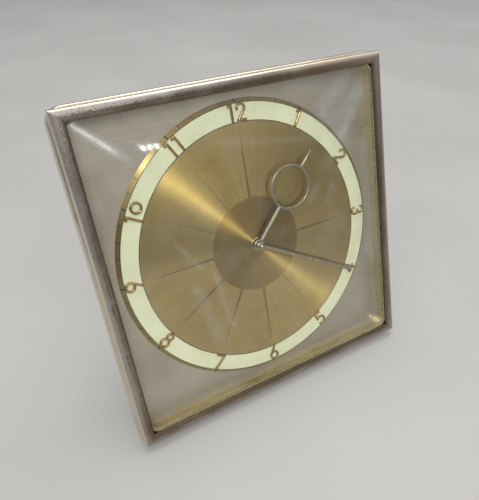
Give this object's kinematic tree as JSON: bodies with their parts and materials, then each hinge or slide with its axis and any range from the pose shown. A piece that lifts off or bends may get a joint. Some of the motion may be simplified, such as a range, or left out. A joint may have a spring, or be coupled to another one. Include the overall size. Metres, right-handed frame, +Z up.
{
  "type": "desk clock",
  "caption": "Square leaning desk clock: flat brass bezel, domed crystal, round sunburst dial with cream numeral ring, ring-shaped hour hand, drum back and folding strut.",
  "frame": {"origin": "middle of the bounding box on the surface the clock stands on", "axes": "+X to the right seen from the front, -Y the way the dial faces, +Z up"},
  "size_m": [0.15, 0.0804, 0.1444],
  "materials": {
    "bezel_brass": "worn nickelled brass with brown patina",
    "case_brass": "satin pale brass",
    "crystal": "clear, domed",
    "frame_gold": "satin gold",
    "plate_silver": "brushed champagne silver",
    "dial_gold": "sunburst brushed gold lacquer",
    "cream": "matt cream paint",
    "dial_brown": "sunburst brushed brown-gold lacquer",
    "gilt": "polished gilt",
    "hand_gilt": "polished pale gilt",
    "steel": "polished",
    "movement_brass": "machined",
    "spring_steel": "blued spring steel",
    "cover": "gold lacquered sheet metal",
    "pad": "matt"
  },
  "bodies": {
    "case": {"case_body": "case_brass", "front_bezel": "bezel_brass", "crystal": "crystal", "inner_frame": "frame_gold", "dial_plate": "plate_silver", "dial_disc": "dial_gold", "chapter_ring": "cream", "dial_centre": "dial_brown", "dial_bushing": "gilt", "hour_numerals": "gilt", "dial_feet": "movement_brass", "minute_stud": "steel", "front_plate": "movement_brass", "back_plate": "movement_brass", "pillars": "movement_brass", "plate_screws": "steel", "click": "steel", "click_screw": "steel", "hairspring": "spring_steel", "back_cover": "cover", "cover_screws": "steel", "strut_bracket": "case_brass", "bracket_screws": "steel", "hinge_pin": "steel"},
    "minute_train": {"centre_arbor": "steel", "cannon_pinion": "steel", "minute_hand": "hand_gilt", "hand_nut": "steel", "set_knob": "gilt"},
    "minute_work": {"minute_wheel": "movement_brass"},
    "hour_train": {"hour_wheel": "movement_brass", "hour_hand": "hand_gilt"},
    "barrel": {"great_wheel": "movement_brass", "barrel_cover": "movement_brass", "mainspring": "spring_steel"},
    "winding": {"barrel_arbor": "steel", "ratchet_wheel": "steel", "winding_key": "gilt"},
    "centre": {"centre_wheel": "movement_brass"},
    "third": {"third_wheel": "movement_brass"},
    "fourth": {"fourth_wheel": "movement_brass"},
    "escape": {"escape_wheel": "movement_brass"},
    "pallet": {"pallet_lever": "steel"},
    "balance": {"balance_wheel": "movement_brass"},
    "strut": {"strut_leg": "case_brass", "strut_foot": "pad"}
  },
  "joints": [
    {"name": "minute_hand_turn", "type": "hinge", "parent": "case", "child": "minute_train", "pos_m": [0, 0.00132, 0.06809], "axis": [0, 0.9511, -0.309], "continuous": true},
    {"name": "minute_wheel_turn", "type": "hinge", "parent": "case", "child": "minute_work", "pos_m": [0, -0.00164, 0.05896], "axis": [0, 0.9511, -0.309], "continuous": true},
    {"name": "hour_hand_turn", "type": "hinge", "parent": "case", "child": "hour_train", "pos_m": [0, 0.00132, 0.06809], "axis": [0, 0.9511, -0.309], "continuous": true},
    {"name": "fourth_wheel_turn", "type": "hinge", "parent": "case", "child": "fourth", "pos_m": [0.0084, -0.00436, 0.05061], "axis": [0, 0.9511, -0.309], "continuous": true},
    {"name": "third_wheel_turn", "type": "hinge", "parent": "case", "child": "third", "pos_m": [0.01247, -0.0009, 0.06124], "axis": [0, 0.9511, -0.309], "continuous": true},
    {"name": "centre_wheel_turn", "type": "hinge", "parent": "case", "child": "centre", "pos_m": [0, 0.00132, 0.06809], "axis": [0, 0.9511, -0.309], "continuous": true},
    {"name": "barrel_turn", "type": "hinge", "parent": "case", "child": "barrel", "pos_m": [0, 0.00781, 0.08806], "axis": [0, 0.9511, -0.309], "continuous": true},
    {"name": "escape_wheel_turn", "type": "hinge", "parent": "case", "child": "escape", "pos_m": [-0.00118, -0.00544, 0.04729], "axis": [0, 0.9511, -0.309], "continuous": true},
    {"name": "pallet_swing", "type": "hinge", "parent": "case", "child": "pallet", "pos_m": [-0.01064, -0.00492, 0.04888], "axis": [0, 0.9511, -0.309], "range_deg": [-4, 4]},
    {"name": "balance_swing", "type": "hinge", "parent": "case", "child": "balance", "pos_m": [-0.02004, -0.00386, 0.05213], "axis": [0, 0.9511, -0.309], "range_deg": [-120, 120], "stiffness_Nm_per_rad": 0.000012},
    {"name": "winding_key_turn", "type": "hinge", "parent": "case", "child": "winding", "pos_m": [0, 0.00781, 0.08806], "axis": [0, 0.9511, -0.309], "continuous": true},
    {"name": "strut_fold", "type": "hinge", "parent": "case", "child": "strut", "pos_m": [0, 0.01744, 0.04813], "axis": [1, 0, 0], "range_deg": [-37, 0]}
  ],
  "couplings": [
    {"joint": "minute_wheel_turn", "follows": "minute_hand_turn", "ratio": -0.33333},
    {"joint": "hour_hand_turn", "follows": "minute_hand_turn", "ratio": 0.083333},
    {"joint": "third_wheel_turn", "follows": "fourth_wheel_turn", "ratio": -0.13333},
    {"joint": "centre_wheel_turn", "follows": "fourth_wheel_turn", "ratio": 0.016667},
    {"joint": "barrel_turn", "follows": "fourth_wheel_turn", "ratio": -0.0027778},
    {"joint": "escape_wheel_turn", "follows": "fourth_wheel_turn", "ratio": -7.5}
  ]
}
